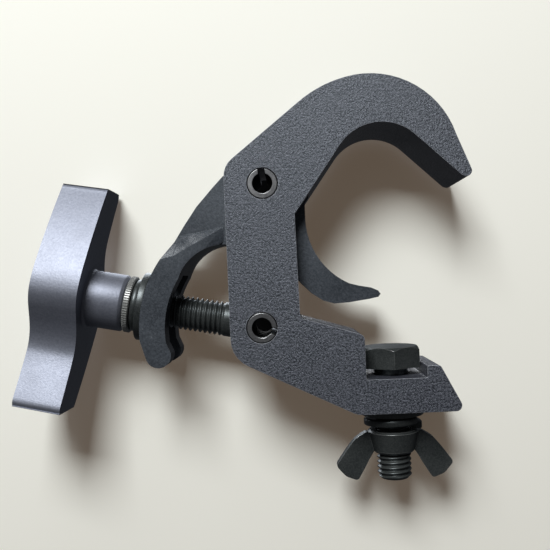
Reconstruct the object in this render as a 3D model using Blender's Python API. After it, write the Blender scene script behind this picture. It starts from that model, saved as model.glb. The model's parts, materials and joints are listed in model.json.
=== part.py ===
"""Quick-trigger pipe clamp for a 50 mm tube: every piece is its own closed solid.

Frame: metres, +Z up. The origin is the centre of the clamped tube, half way across
the clamp. The tube runs along Y, the fixture bolt hangs down along -Z, and the
clamping screw points to -X, a little above level.
Profiles are written in millimetres as (x, z) pairs and scaled once, by MM.
"""
import math

import bmesh
import bpy
from mathutils import Matrix, Vector

MM = 0.001
GAP = 0.3                       # clearance between neighbouring pieces
TURN = 2.0 * math.pi

# Tube and frame
TUBE_DIAMETER = 50.0
SEAT_CLEARANCE = 0.2            # seat faces stand this far off the tube
BODY_WIDTH = 30.0
SPINE_LEFT = -54.2
SPINE_RIGHT = -31.0
SEAT_LEFT_ANGLE = 144.5         # direction of each seat face's normal, seen from the tube
SEAT_RIGHT_ANGLE = 46.7
SEAT_CROWN_RADIUS = 16.8        # arc that joins the two seat faces
HOOK_CENTRE = (-5.0, 15.6)
HOOK_RADIUS = 30.3
HOOK_START_ANGLE = 104.0
HOOK_END_ANGLE = 17.0
HOOK_TIP = (30.2, 8.8)
HOOK_TIP_RADIUS = 1.85
HOOK_END_FACE_ANGLE = 158.0
BACK_CORNER_RISE = 6.3          # spine's upper back corner above the arm pin
BACK_SLOPE = 38.2               # degrees, from that corner up to the hook
HEEL_RADIUS = 40.0              # where the back's slope runs into the hook
BASE_BOTTOM = -68.0

# Pins
PIN_DIAMETER = 10.0
PIN_WALL = 1.7
PIN_SLIT = 2.2
ARM_PIN = (-41.4, 10.6)
SCREW_PIN = (-43.4, -37.6)
ARM_PIN_SLIT_ANGLE = 92.0
SCREW_PIN_SLIT_ANGLE = -18.0

# Slot in the spine, for the arm and the eye bolt
SLOT_WIDTH = 15.0
SLOT_ARM_RADIUS = 16.0          # round the arm pin
SLOT_EYE_CLEARANCE = 1.0        # round the eye of the bolt
SCREW_SWING = 75.0              # degrees that the eye bolt swings down out of the fork

# Trigger arm
ARM_EYE_RADIUS = 10.2
JAW_CENTRE = (-2.0, -1.2)
JAW_RADIUS = 25.3
FORK_WIDTH = BODY_WIDTH - 1.0
FORK_RADIUS = 41.1              # outer face of the fork, round the screw pin
FORK_TOP_ANGLE = 144.0
FORK_LOW_ANGLE = 184.0
PRONG_DEPTH = 8.6
PRONG_TIP_ANGLE = 192.7
PRONG_TIP_REACH = 35.9          # centre of the prong's rounded tip from the screw pin
PRONG_TIP_RADIUS = 4.3
PRONG_ROOT_ANGLE = 147.0        # where the prong's inner arc meets the lever's underside
UNDER_ARC_CENTRE = (-55.3, -25.0)
UNDER_ARC_RADIUS = 16.2
UNDER_ARC_END_ANGLE = 156.0

# Screw: eye bolt, washers, insert and handle. Distances run along the screw from its pin.
SCREW_TILT = 11.2               # degrees above level
THREAD_DIAMETER = 12.0
EYE_DIAMETER = 20.0
SCREW_LENGTH = 65.0
FLAT_WASHER_DIAMETER = 24.0
FLAT_WASHER_THICKNESS = 2.4
WASHER_BORE = THREAD_DIAMETER + 1.0
LOCK_WASHER_DIAMETER = 18.4
LOCK_WASHER_THICKNESS = 2.0
LOCK_WASHER_SWEEP = 346.0
LOCK_WASHER_START_ANGLE = 20.0
INSERT_DIAMETER = THREAD_DIAMETER + 3.6
COLLAR_DIAMETER = INSERT_DIAMETER + 4.4
COLLAR_THICKNESS = 2.2
INSERT_LENGTH = 13.0
BARREL_DIAMETER = INSERT_DIAMETER + 4.4
BARREL_LENGTH = 13.1
BARREL_CHAMFER = 1.0
BARREL_OVERLAP = 2.0            # how far the barrel runs into the bar
BAR_THICKNESS = 16.0            # along the screw
BAR_HALF_LENGTH = 37.9
BAR_END_DEPTH = 16.3
BAR_HUB_DEPTH = 17.4
BORE_FLOOR = 2.4                # closed end of the handle's bore

# Fixture bolt set
BOLT_X = 1.0
HEX_FLATS = 19.0
HEX_HEIGHT = 7.3
HEAD_LIFT = 2.4                 # the loose bolt stands this far off the slot's floor
HEX_SIDE_CLEARANCE = 0.75
HEX_CHAMFER_HEIGHT = 1.6
HEX_CHAMFER_WIDTH = 2.1         # measured inwards from the top of the trimmed corner
HEX_TOP_INSET = 1.5             # from a corner to the flat top's rim
HEAD_SLOT_DEPTH = 4.0           # height of the low wall beside the head
HEAD_SLOT_FLOOR = 11.6          # thickness of the base under the head
BOLT_END = -93.2
BOLT_END_CHAMFER = 1.2
FIXTURE_WASHER_DIAMETER = 22.0
FIXTURE_WASHER_THICKNESS = 2.4
SPRING_WASHER_DIAMETER = 20.4
SPRING_WASHER_BORE = THREAD_DIAMETER + 0.8
SPRING_WASHER_THICKNESS = 2.3
SPRING_WASHER_RISE = 2.4        # how far its two ends stand apart
SPRING_WASHER_SWEEP = 338.0
NUT_TOP_DIAMETER = THREAD_DIAMETER + 6.0
NUT_LOW_DIAMETER = THREAD_DIAMETER + 3.0
NUT_HEIGHT = 8.0
NUT_TOP_CHAMFER = 0.6
NUT_LOW_CHAMFER = 0.8
WING_SPAN = 41.4
WING_DROP = 17.6                # from the top of the nut to the wings' lowest corner
WING_THICKNESS = 3.6

ROUND_STEPS = 48                # sides of a full turn
ARC_STEP = 6.0                  # degrees between points on a profile's arc

THREAD_RADIUS = THREAD_DIAMETER / 2
HOLE_RADIUS = PIN_DIAMETER / 2 + GAP
THREAD_HOLE_RADIUS = THREAD_RADIUS + GAP
EYE_RADIUS = EYE_DIAMETER / 2
PLATE_WIDTH = SLOT_WIDTH - 2 * GAP
FORK_SLOT_WIDTH = THREAD_DIAMETER + 5 * GAP
SEAT_DISTANCE = TUBE_DIAMETER / 2 + SEAT_CLEARANCE
HEAD_SLOT_WIDTH = HEX_FLATS + 2 * HEX_SIDE_CLEARANCE
HEAD_SEAT = BASE_BOTTOM + HEAD_SLOT_FLOOR

WASHER_START = FORK_RADIUS + GAP
LOCK_WASHER_START = WASHER_START + FLAT_WASHER_THICKNESS + GAP
COLLAR_START = LOCK_WASHER_START + LOCK_WASHER_THICKNESS + GAP
BARREL_START = COLLAR_START + COLLAR_THICKNESS + GAP
BAR_START = BARREL_START + BARREL_LENGTH
HANDLE_END = BAR_START + BAR_THICKNESS


def polar(centre, radius, degrees):
    """Point at an angle round a centre."""
    angle = math.radians(degrees)
    return (centre[0] + radius * math.cos(angle), centre[1] + radius * math.sin(angle))


def arc(centre, radius, start, end, step=ARC_STEP):
    """Points along an arc, both ends included."""
    count = max(2, math.ceil(abs(end - start) / step))
    return [polar(centre, radius, start + (end - start) * i / count) for i in range(count + 1)]


def meet(first, first_angle, second, second_angle):
    """Crossing of two lines, each given by a point and its direction in degrees."""
    a = Vector((math.cos(math.radians(first_angle)), math.sin(math.radians(first_angle))))
    b = Vector((math.cos(math.radians(second_angle)), math.sin(math.radians(second_angle))))
    offset = Vector(second) - Vector(first)
    distance = (offset.x * b.y - offset.y * b.x) / (a.x * b.y - a.y * b.x)
    return (first[0] + a.x * distance, first[1] + a.y * distance)


def rounded(points, radii, step=15.0):
    """Closed outline whose corners are rounded, one radius for each corner."""
    result = []
    for index, radius in enumerate(radii):
        corner = Vector(points[index])
        if radius <= 0:
            result.append(tuple(corner))
            continue
        before = (Vector(points[index - 1]) - corner).normalized()
        after = (Vector(points[(index + 1) % len(points)]) - corner).normalized()
        half = before.angle(after) / 2
        reach = radius / math.tan(half)
        centre = corner + (before + after).normalized() * radius / math.sin(half)
        start = corner + before * reach - centre
        end = corner + after * reach - centre
        sweep = math.degrees(start.angle_signed(end))
        first = math.degrees(math.atan2(start.y, start.x))
        result += arc(tuple(centre), radius, first, first - sweep, step)
    return result


def finish_mesh(bm, name, material, parent=None, smooth=30.0):
    """Turn a bmesh in millimetres into a named object in metres."""
    bmesh.ops.scale(bm, vec=(MM, MM, MM), verts=bm.verts)
    bmesh.ops.recalc_face_normals(bm, faces=bm.faces)
    mesh = bpy.data.meshes.new(name)
    bm.to_mesh(mesh)
    bm.free()
    mesh.shade_smooth()
    mesh.set_sharp_from_angle(angle=math.radians(smooth))
    obj = bpy.data.objects.new(name, mesh)
    bpy.context.scene.collection.objects.link(obj)
    if material:
        mesh.materials.append(material)
    obj.parent = parent
    return obj


def prism_bm(outline, low, high, axis="Y"):
    """Extrude an outline. Axis Y takes (x, z) pairs, X takes (y, z) and Z takes (x, y)."""
    place = {
        "Y": lambda p, t: (p[0], t, p[1]),
        "X": lambda p, t: (t, p[0], p[1]),
        "Z": lambda p, t: (p[0], p[1], t),
    }[axis]
    bm = bmesh.new()
    base = [bm.verts.new(place(p, low)) for p in outline]
    top = [bm.verts.new(place(p, high)) for p in outline]
    bm.faces.new(base)
    bm.faces.new(list(reversed(top)))
    for index in range(len(outline)):
        following = (index + 1) % len(outline)
        bm.faces.new((base[index], top[index], top[following], base[following]))
    return bm


def lathe_bm(profile, axis="X", steps=ROUND_STEPS):
    """Turn (along, radius) pairs round an axis. A ring's profile is closed; a solid one
    starts and ends on the axis."""
    solid = profile[0][1] == 0
    bm = bmesh.new()
    rings = []
    for along, radius in profile:
        spots = 1 if radius == 0 else steps
        ring = []
        for index in range(spots):
            angle = TURN * index / steps
            across, up = radius * math.cos(angle), radius * math.sin(angle)
            ring.append(bm.verts.new((along, across, up) if axis == "X" else (across, up, along)))
        rings.append(ring)
    pairs = list(zip(rings, rings[1:]))
    if not solid:
        pairs.append((rings[-1], rings[0]))
    for first, second in pairs:
        for index in range(steps):
            following = (index + 1) % steps
            corners = []
            for ring, spot in ((first, index), (first, following), (second, following), (second, index)):
                vert = ring[spot % len(ring)]
                if vert not in corners:
                    corners.append(vert)
            bm.faces.new(corners)
    return bm


def cutter(bm, name, parent=None):
    """Hidden object used only to cut or to add."""
    obj = finish_mesh(bm, name, None, parent)
    obj.hide_render = True
    obj.display_type = "WIRE"
    return obj


def boolean(target, tool, operation="DIFFERENCE"):
    """Cut one object with another, or join them."""
    modifier = target.modifiers.new(tool.name, "BOOLEAN")
    modifier.operation = operation
    modifier.solver = "EXACT"
    modifier.object = tool


def round_hole(centre, radius, half_length, name):
    """Cutter for a round hole along Y."""
    bm = lathe_bm([(-half_length, 0), (-half_length, radius), (half_length, radius), (half_length, 0)])
    bmesh.ops.rotate(bm, cent=(0, 0, 0), matrix=Matrix.Rotation(math.pi / 2, 3, "Z"), verts=bm.verts)
    bmesh.ops.translate(bm, vec=(centre[0], 0, centre[1]), verts=bm.verts)
    return cutter(bm, name)


def material(name, colour, roughness, metallic):
    """Plain Principled material."""
    made = bpy.data.materials.new(name)
    made.use_nodes = True
    shader = made.node_tree.nodes["Principled BSDF"]
    shader.inputs["Base Color"].default_value = (*colour, 1.0)
    shader.inputs["Roughness"].default_value = roughness
    shader.inputs["Metallic"].default_value = metallic
    return made


def set_origin(obj, point):
    """Move an object's origin to a point in millimetres without moving its shape."""
    offset = Vector((point[0], 0.0, point[1])) * MM
    obj.data.transform(Matrix.Translation(-offset))
    obj.location = offset


def body_outline():
    """Profile of the frame: hook, spine and base, clockwise from the hook's heel."""
    left_face = polar((0, 0), SEAT_DISTANCE, SEAT_LEFT_ANGLE)
    right_face = polar((0, 0), SEAT_DISTANCE, SEAT_RIGHT_ANGLE)
    apex = meet(left_face, SEAT_LEFT_ANGLE - 90, right_face, SEAT_RIGHT_ANGLE + 90)
    mid = (SEAT_LEFT_ANGLE + SEAT_RIGHT_ANGLE) / 2
    spread = math.radians((SEAT_LEFT_ANGLE - SEAT_RIGHT_ANGLE) / 2)
    crown = polar(apex, -SEAT_CROWN_RADIUS / math.cos(spread), mid)
    seat_end = meet(right_face, SEAT_RIGHT_ANGLE - 90, HOOK_TIP, HOOK_END_FACE_ANGLE)
    seat_foot = meet(left_face, SEAT_LEFT_ANGLE + 90, (SPINE_RIGHT, 0), 90)
    upper_corner = (SPINE_LEFT, ARM_PIN[1] + BACK_CORNER_RISE)
    slot_left = BOLT_X - HEAD_SLOT_WIDTH / 2
    slot_right = BOLT_X + HEAD_SLOT_WIDTH / 2
    lip = HEAD_SEAT + HEAD_SLOT_DEPTH

    outline = arc(HOOK_CENTRE, HOOK_RADIUS, HOOK_START_ANGLE, HOOK_END_ANGLE)
    outline += rounded([outline[-1], HOOK_TIP, seat_end], [0, HOOK_TIP_RADIUS, 0])[1:]
    outline += arc(crown, SEAT_CROWN_RADIUS, SEAT_RIGHT_ANGLE, SEAT_LEFT_ANGLE)
    lower = [
        seat_foot,
        (SPINE_RIGHT + 0.5, SCREW_PIN[1] + 2.7),
        (slot_left, HEAD_SEAT + 15.0),
        (slot_left, HEAD_SEAT),
        (slot_right, HEAD_SEAT),
        (slot_right, lip),
        (slot_right + 4.4, lip),
        (BOLT_X + 22.6, BASE_BOTTOM),
        (BOLT_X - 13.5, BASE_BOTTOM),
        (SPINE_LEFT + 0.2, SCREW_PIN[1] - 9.9),
        upper_corner,
    ]
    radii = [0.6, 1.6, 2.2, 0.5, 0.5, 0.6, 1.2, 2.0, 7.0, 10.0, 7.5]
    heel = meet(outline[0], HOOK_START_ANGLE + 90, upper_corner, BACK_SLOPE)
    padded = [outline[-1]] + lower + [heel]
    fillet = rounded([upper_corner, heel, outline[0]], [0, HEEL_RADIUS, 0], 4.0)
    return outline + rounded(padded, [0] + radii + [0])[1:-1] + fillet[1:-1]


def slot_outline():
    """Opening through the spine for the arm and for the swinging eye bolt."""
    far_left = SPINE_LEFT - 12.0
    eye_slot = EYE_RADIUS + SLOT_EYE_CLEARANCE
    lowest = 180.0 - SCREW_TILT + SCREW_SWING
    start = lowest + 90.0 - 360.0
    run_out = polar(polar(SCREW_PIN, eye_slot, start), 40.0, lowest)
    right_wall = polar(SCREW_PIN, eye_slot, 20.0)
    outline = [run_out]
    outline += arc(SCREW_PIN, eye_slot, start, 20.0)
    outline += [(SPINE_RIGHT + 4.0, right_wall[1] + 3.0), (SPINE_RIGHT + 4.0, -8.0)]
    outline += arc(ARM_PIN, SLOT_ARM_RADIUS, -20.0, 62.0)
    outline += [(ARM_PIN[0] + 3.0, 40.0), (far_left, 40.0), (far_left, run_out[1])]
    return outline


def make_body(metal):
    """Hook, slotted spine and base in one casting."""
    half = BODY_WIDTH / 2
    body = finish_mesh(prism_bm(body_outline(), -half, half), "hook_body", metal)
    slot = cutter(prism_bm(slot_outline(), -SLOT_WIDTH / 2, SLOT_WIDTH / 2), "cut_spine_slot")
    boolean(body, slot)
    for name, centre in (("cut_arm_pin_hole", ARM_PIN), ("cut_screw_pin_hole", SCREW_PIN)):
        boolean(body, round_hole(centre, HOLE_RADIUS, BODY_WIDTH, name))
    drill = lathe_bm([(HEAD_SEAT + 5, 0), (HEAD_SEAT + 5, THREAD_HOLE_RADIUS),
                      (BASE_BOTTOM - 5, THREAD_HOLE_RADIUS), (BASE_BOTTOM - 5, 0)], "Z")
    bmesh.ops.translate(drill, vec=(BOLT_X, 0, 0), verts=drill.verts)
    boolean(body, cutter(drill, "cut_bolt_hole"))
    return body


def arm_outline():
    """Middle plate of the trigger arm: jaw, eye and lever, clockwise from the lever's back."""
    jaw_top = (JAW_CENTRE[0] - JAW_RADIUS, ARM_PIN[1] - 2.6)
    outline = [(-69.2, -2.0), (-64.7, 4.4), (-58.7, 11.0), (-55.2, 14.6)]
    outline += arc(ARM_PIN, ARM_EYE_RADIUS, 138.0, 22.0, 10.0)
    outline += [jaw_top]
    outline += arc(JAW_CENTRE, JAW_RADIUS, 180.0, 244.0)
    outline += [(-9.6, -24.9), (-5.6, -25.7), (-3.2, -26.8), (-2.4, -28.0), (-3.2, -29.0)]
    outline += [(-6.4, -29.6), (-13.3, -30.5), (-18.4, -30.7), (-22.1, -29.6), (-25.8, -27.1)]
    outline += [(-29.4, -23.5), (-34.5, -17.5), (-40.5, -12.5), (-47.5, -9.6)]
    return outline + arc(UNDER_ARC_CENTRE, UNDER_ARC_RADIUS, 90.0, UNDER_ARC_END_ANGLE)


def prong_outline():
    """Side view of the fork's prongs."""
    outer = arc(SCREW_PIN, FORK_RADIUS, FORK_TOP_ANGLE, FORK_LOW_ANGLE, 3.0)
    tip = polar(SCREW_PIN, PRONG_TIP_REACH, PRONG_TIP_ANGLE)
    low = arc(tip, PRONG_TIP_RADIUS, PRONG_TIP_ANGLE + 5.0, PRONG_TIP_ANGLE + 175.0, 20.0)
    inner = arc(SCREW_PIN, FORK_RADIUS - PRONG_DEPTH, PRONG_TIP_ANGLE - 6.0, PRONG_ROOT_ANGLE, 3.0)
    root = polar(UNDER_ARC_CENTRE, UNDER_ARC_RADIUS, UNDER_ARC_END_ANGLE)
    return outer + low + inner + [root]


def make_arm(metal):
    """Jaw and fork in one piece."""
    half_plate = PLATE_WIDTH / 2
    half_fork = FORK_WIDTH / 2
    fork_top = polar(SCREW_PIN, FORK_RADIUS, FORK_TOP_ANGLE)
    plate_outline = arm_outline() + [fork_top]
    arm = finish_mesh(prism_bm(plate_outline, -half_plate, half_plate), "trigger_arm", metal)
    prongs = cutter(prism_bm(prong_outline(), -half_fork, half_fork), "add_prongs")

    shoulder = bmesh.new()
    wide = [fork_top, (-72.2, -12.4), (-69.8, -18.0), (-74.6, -22.5), (-80.0, -21.0)]
    narrow = [(-70.9, -5.4), (-63.0, -4.2), (-55.5, -2.8), (-55.5, -7.6), (-62.0, -10.2), (-68.8, -16.2)]
    for side in (-1, 1):
        for x, z in wide:
            shoulder.verts.new((x, side * half_fork, z))
        for x, z in narrow:
            shoulder.verts.new((x, side * half_plate, z))
    hull = bmesh.ops.convex_hull(shoulder, input=shoulder.verts)
    inside = [item for item in hull["geom_interior"] if isinstance(item, bmesh.types.BMVert)]
    bmesh.ops.delete(shoulder, geom=inside, context="VERTS")
    shoulder_solid = cutter(shoulder, "add_shoulder")
    under = round_hole(UNDER_ARC_CENTRE, UNDER_ARC_RADIUS, BODY_WIDTH, "cut_shoulder_underside")
    boolean(shoulder_solid, under)
    boolean(arm, shoulder_solid, "UNION")
    boolean(arm, prongs, "UNION")

    tilt = math.radians(SCREW_TILT)
    along = Vector((-math.cos(tilt), math.sin(tilt)))
    across = Vector((math.sin(tilt), math.cos(tilt)))
    pin = Vector(SCREW_PIN)
    root = THREAD_RADIUS + 7.0
    corners = [(20, root), (FORK_RADIUS + 9, root), (FORK_RADIUS + 9, -40), (20, -40)]
    slot = [tuple(pin + along * a + across * h) for a, h in corners]
    boolean(arm, cutter(prism_bm(slot, -FORK_SLOT_WIDTH / 2, FORK_SLOT_WIDTH / 2), "cut_fork_slot"))
    boolean(arm, round_hole(ARM_PIN, HOLE_RADIUS, BODY_WIDTH, "cut_arm_eye"))
    set_origin(arm, ARM_PIN)
    return arm


def make_pin(name, centre, slit_angle, metal):
    """Slotted spring pin, flush with both sides of the frame."""
    outer = PIN_DIAMETER / 2
    inner = outer - PIN_WALL
    open_outer = math.degrees(math.asin(PIN_SLIT / 2 / outer))
    open_inner = math.degrees(math.asin(PIN_SLIT / 2 / inner))
    outline = arc((0, 0), outer, slit_angle + open_outer, slit_angle + 360 - open_outer, 10.0)
    outline += arc((0, 0), inner, slit_angle + 360 - open_inner, slit_angle + open_inner, 10.0)
    half = BODY_WIDTH / 2
    pin = finish_mesh(prism_bm(outline, -half, half), name, metal)
    pin.location = Vector((centre[0], 0.0, centre[1])) * MM
    return pin


def screw_frame():
    """Empty on the screw's pin; its X axis points out along the screw."""
    frame = bpy.data.objects.new("screw_frame", None)
    bpy.context.scene.collection.objects.link(frame)
    frame.location = Vector((SCREW_PIN[0], 0.0, SCREW_PIN[1])) * MM
    frame.rotation_euler = (0.0, math.pi + math.radians(SCREW_TILT), 0.0)
    return frame


def make_eye_bolt(frame, metal):
    """Eye and threaded shank."""
    half = PLATE_WIDTH / 2
    eye = finish_mesh(prism_bm(arc((0, 0), EYE_RADIUS, 0, 360)[:-1], -half, half), "eye_bolt", metal, frame)
    shank = [(0, 0), (0, THREAD_RADIUS), (SCREW_LENGTH - BOLT_END_CHAMFER, THREAD_RADIUS),
             (SCREW_LENGTH, THREAD_RADIUS - BOLT_END_CHAMFER), (SCREW_LENGTH, 0)]
    boolean(eye, cutter(lathe_bm(shank), "add_shank", frame), "UNION")
    bore = lathe_bm([(-BODY_WIDTH, 0), (-BODY_WIDTH, HOLE_RADIUS),
                     (BODY_WIDTH, HOLE_RADIUS), (BODY_WIDTH, 0)])
    bmesh.ops.rotate(bore, cent=(0, 0, 0), matrix=Matrix.Rotation(math.pi / 2, 3, "Z"), verts=bore.verts)
    boolean(eye, cutter(bore, "cut_eye", frame))
    return eye


def make_ring(name, start, thickness, outer, bore, metal, parent, axis="X", chamfer=0.0):
    """Flat ring with its outer corners chamfered."""
    end = start + thickness
    profile = [(start, bore / 2), (start, outer / 2 - chamfer), (start + chamfer, outer / 2),
               (end - chamfer, outer / 2), (end, outer / 2 - chamfer), (end, bore / 2)]
    if chamfer == 0:
        profile = [profile[0], profile[1], profile[4], profile[5]]
    return finish_mesh(lathe_bm(profile, axis), name, metal, parent)


def split_ring(outer, bore, thickness, rise, sweep, start_angle, steps=36):
    """Helical split ring along Z, its lower end at height 0."""
    bm = bmesh.new()
    sections = []
    for index in range(steps + 1):
        share = index / steps
        angle = math.radians(start_angle + sweep * share)
        corners = []
        for radius, level in ((bore / 2, 0), (outer / 2, 0), (outer / 2, thickness), (bore / 2, thickness)):
            height = level + rise * share
            corners.append(bm.verts.new((radius * math.cos(angle), radius * math.sin(angle), height)))
        sections.append(corners)
    for first, second in zip(sections, sections[1:]):
        for index in range(4):
            following = (index + 1) % 4
            bm.faces.new((first[index], first[following], second[following], second[index]))
    bm.faces.new(list(reversed(sections[0])))
    bm.faces.new(sections[-1])
    return bm


def make_lock_washer(frame, metal):
    """Thin split washer between the flat washer and the insert's collar."""
    bm = split_ring(LOCK_WASHER_DIAMETER, WASHER_BORE, LOCK_WASHER_THICKNESS, 0.0,
                    LOCK_WASHER_SWEEP, LOCK_WASHER_START_ANGLE)
    bmesh.ops.rotate(bm, cent=(0, 0, 0), matrix=Matrix.Rotation(math.pi / 2, 3, "Y"), verts=bm.verts)
    bmesh.ops.translate(bm, vec=(LOCK_WASHER_START, 0, 0), verts=bm.verts)
    return finish_mesh(bm, "handle_spring_washer", metal, frame)


def make_insert(frame, metal):
    """Threaded steel insert with the collar that bears on the washers."""
    bore = THREAD_HOLE_RADIUS
    collar_end = COLLAR_START + COLLAR_THICKNESS
    profile = [(COLLAR_START, bore), (COLLAR_START, COLLAR_DIAMETER / 2), (collar_end, COLLAR_DIAMETER / 2),
               (collar_end, INSERT_DIAMETER / 2), (COLLAR_START + INSERT_LENGTH, INSERT_DIAMETER / 2),
               (COLLAR_START + INSERT_LENGTH, bore)]
    return finish_mesh(lathe_bm(profile), "handle_insert", metal, frame)


def bar_outline():
    """S-shaped end view of the bar, as (y, z) pairs in the screw's frame."""
    side = [
        (BAR_HALF_LENGTH, -0.6), (26.0, -7.2), (12.5, -14.0), (8.0, -16.0), (4.0, -BAR_HUB_DEPTH + 0.2),
        (0.5, -BAR_HUB_DEPTH), (-2.5, -BAR_HUB_DEPTH + 0.9), (-6.0, -14.5), (-11.0, -11.5), (-14.5, -10.1),
        (-18.0, -9.9), (-22.0, -10.9), (-29.0, -13.5), (-35.2, -BAR_END_DEPTH + 0.2),
        (-37.0, -BAR_END_DEPTH + 0.5), (-38.2, -BAR_END_DEPTH + 2.0),
    ]
    whole = side + [(-h, -y) for h, y in side]
    return [(y, -h) for h, y in whole]


def make_handle(frame, metal):
    """Barrel and bar of the T-handle, with a blind bore for the insert and the screw."""
    radius = BARREL_DIAMETER / 2
    bar = finish_mesh(prism_bm(bar_outline(), BAR_START, HANDLE_END, "X"), "t_handle", metal, frame)
    barrel_end = BAR_START + BARREL_OVERLAP
    barrel = [(BARREL_START, 0), (BARREL_START, radius - BARREL_CHAMFER),
              (BARREL_START + BARREL_CHAMFER, radius), (barrel_end, radius), (barrel_end, 0)]
    boolean(bar, cutter(lathe_bm(barrel), "add_barrel", frame), "UNION")
    insert_radius = INSERT_DIAMETER / 2 + GAP
    insert_end = COLLAR_START + INSERT_LENGTH + GAP
    bore = [(BARREL_START - 3, 0), (BARREL_START - 3, insert_radius), (insert_end, insert_radius),
            (insert_end, THREAD_HOLE_RADIUS), (HANDLE_END - BORE_FLOOR, THREAD_HOLE_RADIUS),
            (HANDLE_END - BORE_FLOOR, 0)]
    boolean(bar, cutter(lathe_bm(bore), "cut_handle_bore", frame))
    return bar


def make_fixture_bolt(metal):
    """Hex bolt whose head lies in the base slot, one corner towards the front."""
    across = HEX_FLATS / math.sqrt(3)
    seat = HEAD_SEAT + HEAD_LIFT
    corners = [polar((BOLT_X, 0), across, 30 + 60 * index) for index in range(6)]
    bolt = finish_mesh(prism_bm(corners, seat, seat + HEX_HEIGHT, "Z"), "fixture_bolt", metal)
    top = seat + HEX_HEIGHT
    rim = across - HEX_TOP_INSET
    dome = lathe_bm([(seat - 1, 0), (seat - 1, across + 2), (top - HEX_CHAMFER_HEIGHT, rim + HEX_CHAMFER_WIDTH),
                     (top, rim), (top, 0)], "Z")
    bmesh.ops.translate(dome, vec=(BOLT_X, 0, 0), verts=dome.verts)
    boolean(bolt, cutter(dome, "trim_hex_corners"), "INTERSECT")
    shank = lathe_bm([(seat + 2, 0), (seat + 2, THREAD_RADIUS), (BOLT_END + BOLT_END_CHAMFER, THREAD_RADIUS),
                      (BOLT_END, THREAD_RADIUS - BOLT_END_CHAMFER), (BOLT_END, 0)], "Z")
    bmesh.ops.translate(shank, vec=(BOLT_X, 0, 0), verts=shank.verts)
    boolean(bolt, cutter(shank, "add_bolt_shank"), "UNION")
    return bolt


def make_fixture_washers(metal):
    """Flat washer and split spring washer under the base."""
    flat_top = BASE_BOTTOM - GAP
    flat_low = flat_top - FIXTURE_WASHER_THICKNESS
    flat = make_ring("fixture_flat_washer", flat_low, FIXTURE_WASHER_THICKNESS, FIXTURE_WASHER_DIAMETER,
                     WASHER_BORE, metal, None, "Z")
    spring_low = flat_low - GAP - SPRING_WASHER_THICKNESS - SPRING_WASHER_RISE
    bm = split_ring(SPRING_WASHER_DIAMETER, SPRING_WASHER_BORE, SPRING_WASHER_THICKNESS,
                    SPRING_WASHER_RISE, SPRING_WASHER_SWEEP, -20.0)
    spring = finish_mesh(bm, "fixture_spring_washer", metal)
    flat.location.x = BOLT_X * MM
    spring.location = Vector((BOLT_X, 0, spring_low)) * MM
    return spring_low


def make_wing_nut(top, metal):
    """Tapered hub with two wings that spread downwards, their corners rounded."""
    low = top - NUT_HEIGHT
    bore = THREAD_HOLE_RADIUS
    wide, slim = NUT_TOP_DIAMETER / 2, NUT_LOW_DIAMETER / 2
    hub = [(top, bore), (top, wide - NUT_TOP_CHAMFER), (top - NUT_TOP_CHAMFER, wide),
           (low + NUT_LOW_CHAMFER, slim), (low, slim - NUT_LOW_CHAMFER), (low, bore)]
    nut = finish_mesh(lathe_bm(hub, "Z"), "wing_nut", metal)
    half = WING_SPAN / 2
    wing = [(bore + 1.3, top - 0.9), (9.9, top - 0.6), (13.8, top - 3.0), (17.0, top - 7.0),
            (half, top - 12.2), (17.4, top - 16.0), (13.2, top - WING_DROP), (10.3, top - 12.8),
            (8.9, top - 10.2), (bore + 0.7, top - 7.2)]
    wing = rounded(wing, [0, 2.0, 8.0, 0, 1.5, 4.0, 1.2, 0, 0, 0])
    for side in (-1, 1):
        outline = [(side * x, z) for x, z in wing]
        blade = prism_bm(outline, -WING_THICKNESS / 2, WING_THICKNESS / 2)
        boolean(nut, cutter(blade, f"add_wing_{'left' if side < 0 else 'right'}"), "UNION")
    nut.location.x = BOLT_X * MM
    for modifier in nut.modifiers:
        modifier.object.location.x = BOLT_X * MM
    return nut


def main():
    """Build the clamp."""
    for old in list(bpy.data.objects):
        bpy.data.objects.remove(old, do_unlink=True)
    coat = material("powder_coat", (0.055, 0.058, 0.068), 0.62, 0.2)
    dark = material("satin_black", (0.045, 0.050, 0.058), 0.45, 0.4)
    handle_coat = material("handle_coat", (0.070, 0.078, 0.095), 0.38, 0.4)
    oxide = material("black_oxide", (0.040, 0.044, 0.042), 0.35, 0.8)
    steel = material("bright_steel", (0.60, 0.60, 0.58), 0.28, 1.0)

    make_body(coat)
    make_arm(dark)
    make_pin("arm_pivot_pin", ARM_PIN, ARM_PIN_SLIT_ANGLE, steel)
    make_pin("eye_bolt_pin", SCREW_PIN, SCREW_PIN_SLIT_ANGLE, steel)

    frame = screw_frame()
    make_eye_bolt(frame, oxide)
    make_ring("handle_flat_washer", WASHER_START, FLAT_WASHER_THICKNESS, FLAT_WASHER_DIAMETER,
              WASHER_BORE, oxide, frame, chamfer=0.3)
    make_lock_washer(frame, oxide)
    make_insert(frame, steel)
    make_handle(frame, handle_coat)

    make_fixture_bolt(oxide)
    spring_low = make_fixture_washers(oxide)
    make_wing_nut(spring_low - GAP, oxide)


main()
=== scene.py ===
"""Looks of the pipe clamp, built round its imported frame.

Each sub-assembly is a class that makes its own pieces and dresses them. Lengths are in
metres unless a name ends in _mm.
"""
from __future__ import annotations

import json
import logging
import math
from dataclasses import dataclass, field
from enum import Enum

import bmesh
import bpy
from mathutils import Matrix, Vector

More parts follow.
